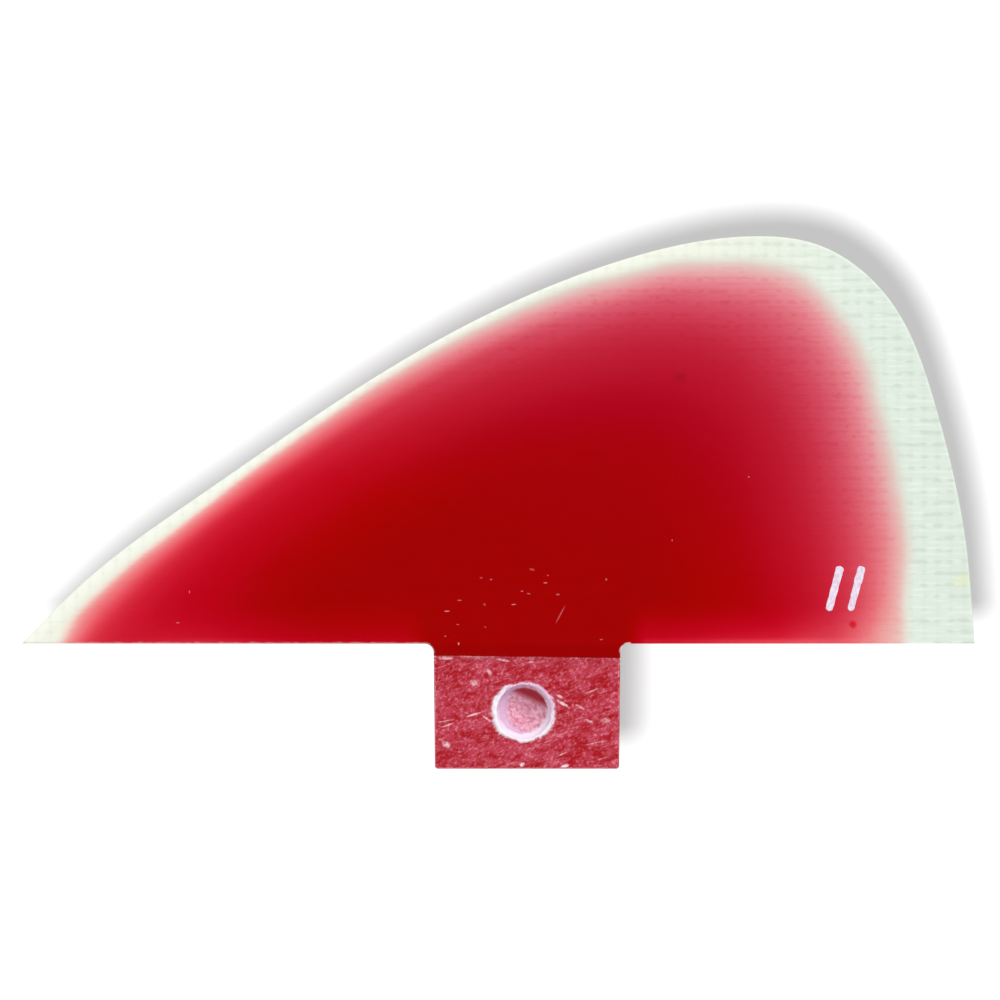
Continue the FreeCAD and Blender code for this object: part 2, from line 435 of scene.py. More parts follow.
turn = np.radians(np.linspace(0, 90, 11)[1:])
root_z = np.concatenate([-tab_fillet * (1 - np.cos(turn)), [-1.2, -1.28]])
tab_x = base_x[first_tab:last_tab + 1]
tape_z = tape_line(tab_x) + 0.03 * ragged(tab_x, 0.8, 3)
tape_bead = np.array([0.10, 0.05, 0.02, 0])
strip_z = np.concatenate([np.tile(root_z, (len(tab_x), 1)), tape_z[:, None] + tape_bead], axis=1)
strip_x = tab_x[:, None] * fillet_x(strip_z) / root_half
strip = np.stack([strip_x, strip_z], axis=2)
strip_rows = strip.shape[1]

places = np.vstack([net.reshape(-1, 2), strip.reshape(-1, 2)])
inset = places.copy()                        # a hair inside the rim, where every place has a section
inset[:columns * rows] += (np.repeat(column_base, rows, axis=0) - inset[:columns * rows]) * 1e-4
height = laminate_height(inset)
to_rim = distance_to(places, evenly(blade_rim, np.linspace(0, 1, 500)))

cut_z = np.concatenate([[0], root_z, [-1.9]])
fillet_line = np.stack([-fillet_x(cut_z), cut_z], axis=1)
front_cut = np.vstack([corners[0], fillet_line])
rear_cut = np.vstack([fillet_line * (-1, 1), corners[-1]])
to_cut = np.minimum(distance_to(places, front_cut), distance_to(places, rear_cut))

grid_faces = [(c * rows + r, (c + 1) * rows + r, (c + 1) * rows + r + 1, c * rows + r + 1)
              for c in range(columns - 1) for r in range(rows - 1)]
strip_start = columns * rows


def strip_vertex(c, r):
    """A vertex of the strip below the base: row -1 is the blade's own lowest row."""
    return (first_tab + c) * rows if r < 0 else strip_start + c * strip_rows + r


strip_faces = [(strip_vertex(c, r), strip_vertex(c, r + 1),
                strip_vertex(c + 1, r + 1), strip_vertex(c + 1, r))
               for c in range(tab_columns) for r in range(-1, strip_rows - 1)]

rim_along = np.gradient(column_rim, axis=0)
rim_out = np.stack([-rim_along[:, 1], rim_along[:, 0]], axis=1)
rim_out /= np.linalg.norm(rim_out, axis=1)[:, None]
pushed = places.copy()
push = smooth(1 - to_rim[:strip_start] / 0.5) * rim_film
pushed[:strip_start] += np.repeat(rim_out, rows, axis=0) * push[:, None]


def rounded(distance, radius):
    """How far a rounded edge has dropped, at a distance in from it."""
    inside = np.clip(radius - distance, 0, radius)
    return radius - np.sqrt(radius ** 2 - inside ** 2)


def coat_sheet(name, near, far, wall_to):
    """A coat between two depths at every place of the net, with a wall round the rim as far as wall_to."""
    steps = np.linspace(0, 1, 5)[1:]
    rim_at = np.arange(columns) * rows + rows - 1

    def skin(spots, depth):
        """One side of the coat, with the rings of its wall."""
        at_rim, from_y = spots[rim_at], depth[rim_at]
        wall = [np.column_stack([at_rim[:, 0], from_y + (wall_to - from_y) * s, at_rim[:, 1]]) for s in steps]
        return np.vstack([np.column_stack([spots[:, 0], depth, spots[:, 1]]), *wall])

    front, back = skin(pushed, near), skin(places, far)
    start = len(places)
    rings = [rim_at] + [start + s * columns + np.arange(columns) for s in range(len(steps))]
    wall_faces = [(int(a[c]), int(a[c + 1]), int(b[c + 1]), int(b[c]))
                  for a, b in zip(rings, rings[1:]) for c in range(columns - 1)]
    return closed_sheet(name, front, back, grid_faces + strip_faces + wall_faces)


chip = worn_edge * (1 + 0.45 * ragged(places[:, 0], 1.7, 11) + 0.35 * ragged(places[:, 0], 0.45, 23))
chip = np.clip(chip, 0.06, None)             # how far in each chip reaches
worn = worn_depth * np.clip(1 - to_cut / chip, 0, 1)
bead = np.zeros(len(places))                 # how far the resin rounds down to the tape line
bead_rows = strip_start + np.arange(len(tab_x) * strip_rows).reshape(len(tab_x), strip_rows)
bead[bead_rows[:, -len(tape_bead):]] = rounded(tape_bead, tape_bead[0]) * 1.4
brushed = brush_marks * np.array([noise.noise(Vector((x / 9, 7.7, z / 5))) for x, z in places])

outer_near = flat_y - height - coat + brushed * np.clip(to_cut, 0, 1) + rounded(to_rim, rim_round)
outer_near += np.maximum(worn, bead)
outer_skin = coat_sheet("outer_gloss", outer_near, flat_y - height, flat_y)


def note_on(piece, name, values, at_wall):
    """Keeps a number for each place of the net on a coat, for its material."""
    wall = np.full(len(piece.data.vertices) // 2 - len(values), at_wall)
    kept = piece.data.attributes.new(name, "FLOAT", "POINT")
    kept.data.foreach_set("value", np.tile(np.concatenate([values, wall]), 2).astype(np.float32))


rim_wall_off_edge = 5.0                      # the rim's own wall counts as far from the sawn edge
note_on(outer_skin, "from_sawn_edge", to_cut, rim_wall_off_edge)

# Laminate seen through the gloss, as (height over the flat face, colour): low on the blade, and by the tip.
low_tints = [(1.5, (246, 246, 228)), (1.7, (243, 222, 208)), (1.9, (241, 168, 163)), (2.1, (238, 123, 127)),
             (2.3, (233, 91, 102)), (2.5, (227, 69, 84)), (2.7, (220, 53, 70)), (2.9, (213, 40, 59)),
             (3.2, (206, 23, 47)), (3.6, (198, 10, 35)), (4.0, (192, 2, 27)), (4.4, (188, 0, 20)),
             (4.8, (182, 0, 16)), (5.2, (176, 0, 7)), (5.6, (172, 0, 2)), (5.95, (168, 0, 0)),
             (6.3, (162, 0, 0))]
high_tints = [(1.5, (217, 228, 213)), (1.7, (217, 225, 211)), (1.9, (221, 209, 199)), (2.1, (226, 179, 176)),
              (2.3, (226, 147, 152)), (2.5, (223, 125, 136)), (2.7, (218, 108, 120)), (2.9, (213, 92, 109)),
              (3.2, (207, 72, 93)), (3.6, (199, 52, 74)), (4.0, (191, 38, 61)), (4.4, (185, 28, 52)),
              (4.8, (180, 20, 46)), (5.2, (176, 9, 39)), (5.6, (172, 1, 31)), (5.95, (168, 0, 20)),
              (6.3, (165, 0, 13))]

# Dust and dry fibre caught in the gloss, as (x, z, half-length, half-height, lean in degrees, how pale).
flecks = [(-9.6, 3.9, 0.30, 0.06, 3, 0.75), (-1.6, 4.7, 0.26, 0.06, 2, 0.6), (-8.1, 5.2, 0.24, 0.06, 0, 0.4),
          (0.2, 6.0, 0.22, 0.06, -8, 0.35), (-0.6, 6.3, 0.14, 0.06, 8, 0.5), (2.2, 7.3, 0.22, 0.07, 0, 0.5),
          (3.7, 5.9, 0.20, 0.10, 0, 0.3), (2.5, 8.2, 0.07, 0.07, 0, 0.5), (0.6, 8.9, 0.30, 0.12, -12, 0.2),
          (-4.3, 7.7, 0.14, 0.08, 0, 0.35), (-5.5, 7.9, 0.16, 0.08, 0, 0.25), (9.5, 7.7, 0.12, 0.12, 0, 0.3),
          (-5.1, 4.7, 0.12, 0.16, 60, 0.2), (-5.0, 2.0, 0.14, 0.07, -30, 0.2),
          (-8.3, 2.3, 0.16, 0.06, 0, 0.3), (-9.8, 0.9, 0.14, 0.07, 15, 0.3), (-8.2, 0.0, 0.08, 0.16, 0, 0.8),
          (8.9, 0.5, 0.18, 0.06, 6, 0.35), (4.0, 3.5, 1.05, 0.07, 62, 0.28),
          (-40.5, 6.2, 0.06, 0.16, 0, 0.5), (-41.9, 2.5, 0.20, 0.05, 0, 0.5),
          (17.4, 12.4, 0.06, 0.10, 0, 0.5), (26.6, 20.0, 0.09, 0.07, 40, 0.6),
          (38.3, 22.6, 0.05, 0.05, 0, 0.5)]

gloss = Finish("gloss_over_laminate")
threads = gloss.weave()
streaks = gloss.grain(5.0, 0.45, detail=3, shift=0.7) - 0.5
hairs = gloss.grain(7.0, 0.13, detail=2, shift=0.4) - 0.5
blotches = gloss.grain(7.0, 4.0, detail=2, shift=0.9) - 0.5
depth = flat_y - coat - gloss.y              # height of the laminate that lies under the coat here
from_edge = gloss.noted("from_sawn_edge")

# By the sawn edge of the base the tint shows paler, and up by the tip the whole blade looks milky.
off_tab = gloss.x.math("ABSOLUTE").rise(11.6, 14.5)
how_pale = gloss.x.rise(-4, 10) * 1.1 - gloss.x.rise(22, 30) * 0.5 + 1.7
near_cut = gloss.z.rise(5.5, -1.0) * off_tab * how_pale + gloss.z.rise(0.9, 0.2) * off_tab * 0.5
milky = (gloss.z - 8) * (1 / 30) + gloss.x.rise(22, 38) * 0.4 + gloss.x.rise(36, 44) * 0.2
milky = milky - gloss.x.rise(12, -26) * 0.4
milky = milky.math("MAXIMUM", 0).math("MINIMUM", 1)

# The cloth shows as broken dashes along its threads, and as finer ones between them.
stray = (gloss.grain(7.0, 5.0, detail=1, shift=0.17) - 0.5) * 0.5
thread_rows = ((gloss.z + stray) * (2 * math.pi / cord_pitch_z)).math("COSINE")
fine_rows = (gloss.z * (4 * math.pi / cord_pitch_z)).math("SINE")
thread_columns = (gloss.x * (2 * math.pi / cord_pitch_x)).math("COSINE")
broken = (gloss.grain(2.4, 0.7, detail=1, shift=0.31) - 0.5) * 5
dashes = thread_rows.rise(0.0, 0.95) * (thread_columns * 0.5 + broken).rise(-0.4, 0.7)
fine_dashes = fine_rows.rise(-0.2, 0.95) * (broken * -1).rise(-0.5, 0.9)


def patch(shift, x=None, z=None, deep=None):
    """Red that shows deeper by shift, faded in over these stretches aft, upwards and of depth."""
    for value, ends in ((gloss.x, x), (gloss.z, z), (depth, deep)):
        shift = value.rise(*ends) * shift if ends else shift
    return shift


# How deep the red looks: the laminate's height, uneven as the cloth and the hand grinding leave it.
seen = depth + streaks * 0.07 + hairs * (depth.rise(2.2, 3.2) * 0.12 + 0.06) + blotches * 0.08
seen = seen + (dashes * 0.11 + fine_dashes * 0.07 - 0.045) * milky * depth.rise(1.8, 2.5)
seen = seen - near_cut * depth.rise(2.4, 5.5)
seen = seen + patch(-0.11, x=(32, 38), z=(20, 30), deep=(3.0, 2.0))
seen = seen + patch(0.14, x=(-2, 8), deep=(2.9, 2.1)) * gloss.x.rise(24, 16)
seen = seen + patch(0.02, x=(34, 42), z=(14, 9), deep=(2.6, 1.9))
up_the_front = gloss.x.rise(-43, -32) + gloss.x.rise(-32, -16) * 0.5
seen = seen + patch(0.18, x=(12, -2), deep=(3.6, 2.4)) * up_the_front
seen = seen + patch(0.25, x=(26, 12), deep=(2.2, 2.8)) * depth.rise(4.8, 3.4)
seen = seen + patch(-0.35, x=(28, 42), z=(14, -1))
seen = seen + patch(-0.22, x=(36, 41), z=(6, 0)) * gloss.x.rise(46, 42)
seen = seen + patch(0.08, x=(42, 45), z=(6, 2))
seen = seen + patch(-0.19, x=(-49, -54), z=(3.5, 0))
tint = gloss.mix(milky, gloss.tints(seen, low_tints), gloss.tints(seen, high_tints))

# The clear rim: creamy along the leading edge, with a painted highlight along its outer edge, greener aft,
# with the cloth's dashes and one yellowed spot.
pale = gloss.mix(gloss.x.rise(15, 46), cream, pale_green)
aft = gloss.x.rise(10, 44)
# Painted highlight: where the laminate is thinnest, towards the front of the rim, it is painted nearly white.
pale = gloss.mix(depth.rise(1.72, 1.45) * (gloss.x.rise(24, 0) * 0.6), pale, (253, 255, 245))
pale = gloss.mix(dashes * (aft * 0.42 + 0.14), pale, (200, 214, 199))
pale = gloss.mix(thread_columns.rise(0.3, 1.0) * (aft * 0.08 + 0.10), pale, (206, 220, 206))
pale = gloss.mix(fine_dashes * (aft * 0.30 + 0.10), pale, (244, 250, 244))
pale = gloss.mix((streaks + hairs * 0.6 + 0.05).rise(0.0, 0.35) * 0.25, pale, (246, 251, 244))
pale = gloss.mix(gloss.spot(52.4, 7.6, 1.4, 0.8, 8, soft=0.98) * 0.34, pale, (232, 236, 176))

# On top of both: the root's shade, a dark knot, a red drop, soft drips of tint, and the flecks.
body = gloss.mix(seen.rise(2.0, 1.62), tint, pale)
body = gloss.mix(gloss.z.rise(0.05, -0.15) * 0.10, body, (70, 0, 0))
uneven = gloss.grain(0.6, 0.5, detail=3, shift=0.4).rise(0.25, 0.65)
body = gloss.mix(gloss.spot(18.4, 31.9, 0.75, 0.55, 0, soft=0.98) * uneven * 0.42, body, (120, 10, 30))
body = gloss.mix(gloss.spot(39.1, 2.3, 0.42, 0.46, 30, soft=0.98) * 0.85, body, (206, 6, 34))
drips = gloss.grain(1.3, 0.8, detail=1, shift=0.85).rise(0.64, 0.78) * milky * seen.rise(1.9, 2.5)
body = gloss.mix(drips * 0.20, body, (190, 8, 40))
for x, z, length, tall, lean, white in flecks:
    body = gloss.mix(gloss.spot(x, z, length, tall, lean) * white, body, (240, 160, 170))

# The sawn edge shows white where it is chipped, most of all by the tab's rear fillet.
frayed = gloss.grain(0.8, 0.3, detail=4, shift=0.2) * 0.34
burr_x, burr_z = gloss.x - 12.0, gloss.z + 0.2
burr = (burr_x * burr_x + burr_z * burr_z).rise(1.4, 0.3) * 0.02
edge_white = (from_edge - frayed - burr).rise(0.06, -0.12) * gloss.z.rise(-1.3, -0.6)
torn_white = burr_x.math("ABSOLUTE").rise(2.6, 1.2) * 0.5 + 0.35
body = gloss.mix(edge_white * torn_white, body, (240, 222, 222))
gloss.bump(gloss.grain(3.5, 1.6, detail=2) * 0.7 + threads * 0.1, 0.012)
gloss.set(Base_Color=body, Roughness=gloss.grain(4.0, 1.5, detail=3) * 0.06 + 0.10,
          Specular_IOR_Level=0.20, Coat_Weight=0.08, Coat_Roughness=0.04)
finished(outer_skin, gloss.material, "outer_gloss_coat")


# ---- Inner gloss coat ----
# The same clear resin over the flat face. The clear plies lie under it, so the red shows only as a blush
# where the laminate is thick behind them.
thinnest_coat = 0.05
inner_near = coat + brushed * 0.8 - rounded(to_rim, coat) - np.maximum(worn, bead)
inner_near = flat_y + np.maximum(inner_near, thinnest_coat)
inner_skin = coat_sheet("inner_gloss", inner_near, np.full(len(places), flat_y), flat_y)
note_on(inner_skin, "laminate_height", height, leading_edge)

backing = Finish("gloss_over_clear_plies")
threads = backing.weave()
seen = backing.noted("laminate_height") + threads * 0.08 + (backing.grain(5.0, 0.8, shift=0.5) - 0.5) * 0.4
blushed = backing.tints(seen, [(1.0, (225, 238, 226)), (2.1, (230, 234, 220)), (2.7, (232, 200, 190)),
                               (3.6, (224, 150, 150)), (4.8, (212, 106, 114)), (6.3, (198, 74, 88))])
body = backing.mix((threads * 0.5 + 0.5) * 0.15, blushed, (206, 196, 188))
backing.bump(backing.grain(3.5, 1.6, detail=2) * 0.7 + threads * 0.12, 0.012)
backing.set(Base_Color=body, Roughness=backing.grain(4.0, 1.5, detail=3) * 0.06 + 0.10,
            Specular_IOR_Level=0.30, Coat_Weight=0.10, Coat_Roughness=0.04)
finished(inner_skin, backing.material, "inner_gloss_coat")


# ---- Sanded side of the tab ----
# Below the tape line the tab's outer side is rubbed down with coarse paper to fit its slot, then drilled for
# the fin box's grub screw. The paper leaves hazy scratches, and the drill a white crown of torn glass.
sanding = 0.05
dimple_x, dimple_z, dimple_radius, dimple_wall = -0.4, -8.2, 3.3, 0.9
dimple_point = dimple_radius / math.tan(math.radians(118 / 2))
crown_width, crown_height = 0.42, 0.13
side_top = -1.38                             # the side runs up a little under the coat's edge
skin_lift, skin_sunk, bowl_sunk = 0.02, 0.12, 0.06      # how far its skin goes out of the plies and in
paper_lean = 18                              # degrees that the paper's strokes lean

foot = -tab_depth
half_top, half_foot = tab_half + tab_inset / tab_depth * side_top, tab_half - tab_inset
corner_turn = np.radians(np.linspace(0, 90, 6))
right_corner = [(half_foot - tab_corner * (1 - math.cos(t)), foot + tab_corner * (1 - math.sin(t)))
                for t in corner_turn]
left_corner = [(-x, z) for x, z in reversed(right_corner)]
tab_outline = np.array([(-half_top, side_top), (half_top, side_top), *right_corner, *left_corner,
                        (-half_top, side_top)])
tab_edge = evenly(tab_outline, np.linspace(0, 1, 401)[:-1])
for corner in tab_outline[:-1]:
    tab_edge[np.linalg.norm(tab_edge - corner, axis=1).argmin()] = corner
centre = np.array([dimple_x, dimple_z])
ray = tab_edge - centre
reach = np.linalg.norm(ray, axis=1)
ray /= reach[:, None]
angle = np.arctan2(ray[:, 1], ray[:, 0])
spokes = len(tab_edge)


def round_noise(scale, seed):
    """Random numbers round the dimple that meet at the ends."""
    circle = [Vector((math.cos(a) * scale, math.sin(a) * scale, seed)) for a in angle]
    return np.array([noise.noise(place) * 1.6 for place in circle])


crown = crown_width * (1 + 0.30 * np.cos(2 * angle) + 0.25 * round_noise(2.2, 1.3)
                       + 0.22 * round_noise(6, 4.1) + 0.08 * round_noise(14, 9.2))
crown = np.clip(crown, 0.14, 0.85)
lip = dimple_radius - 0.03 - 0.05 * np.clip(round_noise(9, 2.7), 0, 1)
top_y = crest_y + sanding


def side_relief(x, z):
    """Scratches and torn fibre on the sanded side, in millimetres out from it."""
    turned = math.radians(paper_lean)
    ahead, up = x * math.cos(turned) + z * math.sin(turned), z * math.cos(turned) - x * math.sin(turned)
    scratch = noise.noise(Vector((ahead / 2.4, up / 0.22, 1.0)))
    scratch += 0.6 * noise.noise(Vector((ahead / 1.0, up / 0.10, 5.0)))
    rough = noise.noise(Vector((x / 0.35, z / 0.3, 3.0)))
    return 0.012 * scratch + 0.007 * rough


front_rings, back_rings = [], []
for share in np.concatenate([np.linspace(0, 1, 12), 1 + np.linspace(0, 1, 54)[1:]]):
    if share <= 1:                       # across the crown
        radius = lip + crown * share
        swell = np.sin(np.pi * np.clip(share * 0.85 + 0.15, 0, 1)) ** 0.8
        raised = crown_height * swell * (1 + 0.5 * round_noise(6, 6.6)) + 0.02
    else:
        radius = lip + crown + (reach - lip - crown) * (share - 1)
        raised = 0.02 * max(0.0, 1 - (share - 1) * 20)
    ring = centre + ray * radius[:, None]
    texture = np.array([side_relief(x, z) for x, z in ring])
    from_tape = ring[:, 1] - tape_line(ring[:, 0])
    feathered = np.where(from_tape < 0.05, 0.15 * smooth((from_tape + 1.1) / 1.1), 0.035)
    under_coat = smooth((from_tape + 0.7) / 0.5)
    rubbed_edge = 0.16 + 0.08 * ragged(ring[:, 0] + ring[:, 1], 0.6, 8)
    rubbed_off = 0.10 * np.clip(1 - distance_to(ring, tab_outline) / rubbed_edge, 0, 1) * (1 - under_coat)
    y = top_y - skin_lift - feathered - raised - texture * (1 - 0.7 * under_coat) + rubbed_off
    front_rings.append(np.column_stack([ring[:, 0], y, ring[:, 1]]))
    back_rings.append(np.column_stack([ring[:, 0], np.full(spokes, top_y + skin_sunk), ring[:, 1]]))
wall_radii = dimple_radius - np.array([0.04, 0.08, 0.14, 0.22, 0.32, 0.44, 0.56, 0.68])
for radius in np.concatenate([wall_radii, np.linspace(dimple_radius - 0.80, 0.02, 18)]):
    cone = dimple_wall + dimple_point * (1 - radius / dimple_radius)
    torn_in = math.exp(-(dimple_radius - radius) / 0.22)  # glass fibre left furring the drilled wall
    deep = cone * (1 - torn_in) - 0.05 + 0.08 * torn_in
    ring = centre + ray * radius
    fuzz = np.array([noise.noise(Vector((x / 0.3, deep * 2, z / 0.25)))
                     + noise.noise(Vector((x / 0.8, 4, z / 0.8))) for x, z in ring])
    fuzz *= min(1.0, radius / 0.6)
    front_rings.insert(0, np.column_stack([ring[:, 0], top_y + deep - 0.02 * np.abs(fuzz), ring[:, 1]]))
    under = np.full(spokes, top_y + cone + bowl_sunk)
    back_rings.insert(0, np.column_stack([ring[:, 0], under, ring[:, 1]]))
ring_faces = [(r * spokes + c, (r + 1) * spokes + c,
               (r + 1) * spokes + (c + 1) % spokes, r * spokes + (c + 1) % spokes)
              for r in range(len(front_rings) - 1) for c in range(spokes)]
ring_faces.append(tuple(range(spokes)))
tab_side = closed_sheet("sanded_tab_side", np.vstack(front_rings), np.vstack(back_rings), ring_faces)

# Deeper scuffs and chips, as (x, z, half-length, half-height, lean in degrees, how white).
scuffs = [(4.3, -7.2, 0.75, 0.17, -30, 1.0), (3.9, -6.3, 0.42, 0.14, -25, 0.8),
          (2.9, -6.4, 0.40, 0.10, -30, 0.8), (6.4, -7.6, 0.60, 0.12, -30, 0.6),
          (7.5, -9.3, 0.48, 0.14, -25, 0.7), (9.5, -9.2, 0.50, 0.28, 0, 0.55),
          (8.1, -11.9, 1.1, 0.06, 13, 0.7), (7.7, -5.7, 0.9, 0.08, 20, 0.5), (4.1, -13.3, 0.6, 0.06, 25, 0.6),
          (-6.4, -8.5, 0.85, 0.10, 17, 0.9), (-10.0, -9.3, 1.1, 0.06, 10, 0.6),
          (-9.6, -9.8, 0.65, 0.09, 20, 0.8), (-4.8, -9.0, 0.60, 0.12, -35, 0.8),
          (-9.7, -12.1, 0.50, 0.32, -35, 0.85),
          (-6.4, -4.7, 0.42, 0.30, -15, 0.7), (-4.5, -3.4, 0.34, 0.22, -30, 0.7),
          (-10.4, -11.5, 0.22, 0.12, 0, 0.7), (-0.55, -14.5, 0.28, 0.20, 30, 1.3),
          (4.5, -14.7, 0.48, 0.20, 18, 1.3), (-9.7, -1.75, 0.8, 0.16, 0, 0.7),
          (-2.8, -2.0, 0.8, 0.12, -10, 0.6), (0.6, -2.2, 0.4, 0.12, 0, 0.6)]

sanded = Finish("sanded_red_laminate")
dx, dz = sanded.x - dimple_x, sanded.z - dimple_z
radius = ((dx * dx) + (dz * dz)).math("SQRT")

# Rubbed and bare patches, crumbs of fibre, and the paper's strokes one way and the other.
clouds = sanded.grain(5.0, 3.2, lean=paper_lean, detail=2, shift=0.1)
patches = sanded.grain(1.5, 1.0, lean=25, detail=5, rough=0.72, shift=0.6)
crumbs = sanded.grain(0.42, 0.30, lean=40, detail=3, rough=0.6, shift=0.2)
strokes = sanded.grain(3.6, 0.15, lean=paper_lean, detail=2, shift=0.3)
cross = sanded.grain(2.0, 0.14, lean=-32, detail=2, shift=0.8)
rubbed = (patches * 0.8 + clouds * 0.35).rise(0.50, 0.65)
side = sanded.mix(rubbed, (176, 0, 22), (194, 58, 80))
hazy = sanded.grain(2.8, 0.55, lean=16, detail=5, rough=0.7, shift=0.5)
side = sanded.mix(hazy.rise(0.48, 0.68) * 0.42, side, (212, 98, 118))
side = sanded.mix(crumbs.rise(0.52, 0.68) * (rubbed * 0.45 + 0.32), side, (230, 132, 150))
side = sanded.mix(crumbs.rise(0.46, 0.32) * 0.62, side, (166, 0, 18))
side = sanded.mix(strokes.rise(0.62, 0.74) * patches.rise(0.42, 0.56) * 0.6, side, (240, 176, 186))
side = sanded.mix(cross.rise(0.66, 0.76) * patches.rise(0.46, 0.58) * 0.5, side, (240, 186, 194))
tape_haze = (sanded.z + crumbs * 1.2).rise(-1.5, -0.4)
side = sanded.mix(tape_haze * clouds.rise(0.44, 0.58) * 0.5, side, (236, 190, 198))
broken = crumbs.rise(0.36, 0.56) * 0.65 + 0.25
for x, z, length, tall, lean, white in scuffs:
    side = sanded.mix(sanded.spot(x, z, length, tall, lean, soft=0.9) * broken * white, side, (250, 216, 224))
fringe = sanded.x.math("ABSOLUTE").rise(10.85, 11.15).math("MAXIMUM", sanded.z.rise(-14.80, -14.97))
side = sanded.mix(fringe * crumbs.rise(0.40, 0.60) * 0.8, side, (240, 216, 218))

# The dimple: a pale fibrous floor, its wall pale below and on the left with painted light, a dark red
# crescent on the upper right that is painted shade as well as the red laminate where the drill cut clean, and
# the white lip, painted whiter towards the bottom.
floor_fibre = sanded.grain(0.6, 0.35, lean=-40, detail=5, rough=0.7, shift=0.15)
floor = sanded.mix(floor_fibre.rise(0.36, 0.64), (206, 118, 144), (240, 190, 208))
# Painted light: the wall's pale torn fibre is paled further towards the lower left, the side that faces the
# light.
pale_wall_and_painted_light = (radius + floor_fibre * 0.9 - dx * 0.35 - dz * 0.15).rise(2.6, 3.9)
floor = sanded.mix(pale_wall_and_painted_light * 0.8, floor, (222, 192, 226))
# Painted shade: a dark red crescent on the upper right wall, which also stands for the clean-cut red laminate
# there.
red_wall_and_painted_shade = (dx * 0.42 + dz * 0.90 + floor_fibre * 0.9).rise(1.65, 2.65) * radius.rise(3.05, 2.75)
floor = sanded.mix(red_wall_and_painted_shade * 0.95, floor, (168, 6, 30))
# The white lip of torn glass, with painted light making it whiter towards the bottom.
lip_white_and_painted_light = (radius + floor_fibre * 0.6 + dx * 0.05 - dz * 0.13).rise(2.98, 3.50)
floor = sanded.mix(lip_white_and_painted_light, floor, (248, 238, 250))
side = sanded.mix(radius.rise(3.40, 3.20), side, floor)

# The crown: white wherever the torn glass stands proud of the sanded side, with painted light making it
# whiter towards the lower left.
torn = sanded.grain(0.9, 0.25, lean=70, detail=3, rough=0.6, shift=0.45)
proud = sanded.y * -1 + top_y
white = proud.rise(0.022, 0.06) * radius.rise(4.7, 4.5)
# Painted light: the crown is painted whiter towards the lower left and lavender towards the upper right.
crown_tint_and_painted_light = sanded.mix((torn - dx * 0.05 - dz * 0.07).rise(0.22, 0.55), (222, 184, 214), (251, 243, 252))
side = sanded.mix(white, side, crown_tint_and_painted_light)
sanded.bump(patches * 0.5 + strokes * 0.5, 0.03)
sanded.set(Base_Color=side, Roughness=rubbed * 0.15 + 0.5, Specular_IOR_Level=0.3)
finished(tab_side, sanded.material, crease=60)


# ---- Pen strokes ----
# Two short strokes of white paint pen near the rear corner, where a shaper would sign the fin. The paint
# stands a little proud of the gloss, thick where the pen stopped.
mark_count, mark_gap = 2, 2.6
mark_width, mark_length, mark_lean = 0.9, 5.6, 15.0
mark_x, mark_z, paint_height = base_length - front_reach - 15.5, 6.6, 0.075
thinnest_paint, paint_sunk = 0.004, 0.02     # the paint's edge over the coat, and its foot inside it
lengthwise, widthwise = 60, 14               # places along and across each stroke

pen_faces, pen_front, pen_back = [], [], []
lean = math.radians(mark_lean)
for number in range(mark_count):
    middle = np.array([mark_x + (number - (mark_count - 1) / 2) * mark_gap, mark_z])
    up = np.array([math.sin(lean), math.cos(lean)])
    over = np.array([up[1], -up[0]])
    start = sum(map(len, pen_front))
    s = np.linspace(-1, 1, lengthwise)
    wavy = 1 + 0.10 * ragged(s * 3, 0.5, 31 + number) + 0.05 * ragged(s * 3, 0.15, 41 + number)
    round_ends = np.clip(1 - ((np.abs(s) - 0.84) / 0.16).clip(0) ** 2, 0, 1) ** 0.5
    half_width = mark_width / 2 * wavy * round_ends * (1 + 0.08 * s)
    t = np.linspace(-1, 1, widthwise)
    at = (middle + up * (s * mark_length / 2)[:, None])[:, None] + over * (half_width[:, None] * t)[..., None]
    at = at.reshape(-1, 2)
    under = flat_y - laminate_height(at) - coat
    dome = (1 - np.abs(np.tile(t, lengthwise)) ** 3) * (0.75 + 0.35 * np.repeat(smooth(-s), widthwise))
    dome *= 1 + 0.18 * np.array([noise.noise(Vector((x / 0.35, number, z / 0.5))) for x, z in at])
    pen_front.append(np.column_stack([at[:, 0], under - paint_height * dome - thinnest_paint, at[:, 1]]))
    pen_back.append(np.column_stack([at[:, 0], under + paint_sunk, at[:, 1]]))
    pen_faces += [(start + a * widthwise + b, start + (a + 1) * widthwise + b,
                   start + (a + 1) * widthwise + b + 1, start + a * widthwise + b + 1)
                  for a in range(lengthwise - 1) for b in range(widthwise - 1)]
strokes_piece = closed_sheet("pen_strokes", np.vstack(pen_front), np.vstack(pen_back), pen_faces)

paint = Finish("white_pen_paint")
thin = paint.grain(0.5, 0.3, lean=75, detail=3, shift=0.2)
paint.bump(thin, 0.02)
paint.set(Base_Color=paint.mix(thin.rise(0.3, 0.7), (222, 200, 226), (244, 236, 248)),
          Roughness=thin * 0.2 + 0.45, Specular_IOR_Level=0.3)
finished(strokes_piece, paint.material, "pen_marks", weld=0.006)


# ---- Table, light and camera ----
# The fin lies flat side down on a white table, so the table stands upright behind it here. One soft lamp
# draws the fin's shadow on the table, and two more light the fin alone, one for each face.
table_half, table_gap = 450.0, 24.0
table_reflects = 0.1
glow_white, lamp_white = 0.50, 0.55          # how bright the table is by itself, and from its lamp
face_white, back_white = 0.40, 0.34          # how bright the fin's lamps make a white face
table_slant, fin_slant = 1.03, 1.33          # more strength for lamps that shine at a slant
room_bright, room_dark, soft_fill = 0.50, 0.003, 0.624
view_width, lens, sensor = 120.06, 1200.0, 36.0         # the width is at the fin's rim
aim_x, rim_y, aim_z = -3.24, 2.0, 17.23      # the middle of the view

